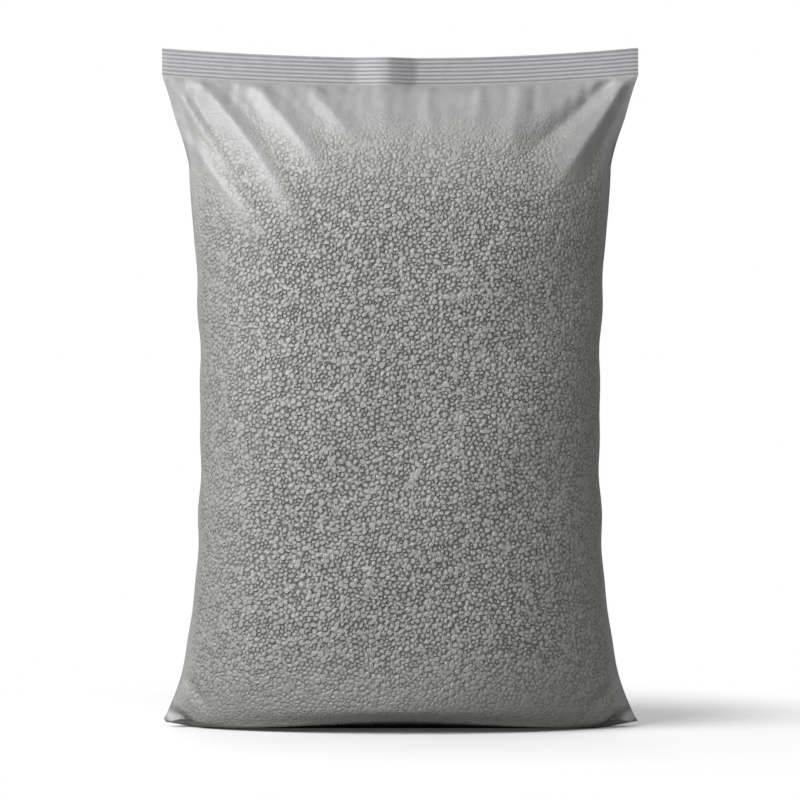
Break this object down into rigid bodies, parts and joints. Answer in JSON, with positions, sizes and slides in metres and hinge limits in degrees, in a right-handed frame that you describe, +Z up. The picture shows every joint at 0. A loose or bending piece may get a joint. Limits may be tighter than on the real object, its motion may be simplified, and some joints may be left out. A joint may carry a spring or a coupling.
{
  "type": "cat litter bag",
  "caption": "Sealed upright pillow bag of grey film drawn tight over granular cat litter, with a ribbed crimp seal on top and pinched bottom corners.",
  "frame": {"origin": "middle of the base, on the floor", "axes": "+Z up to the crimped seal, -Y out of the front face, +X to the right along the seal as seen from the front"},
  "size_m": [0.2652, 0.1092, 0.378],
  "materials": {
    "film": "satin silver-grey polyethylene film, drawn tight over the granules"
  },
  "bodies": {
    "root": {"bag": "film"}
  },
  "joints": []
}
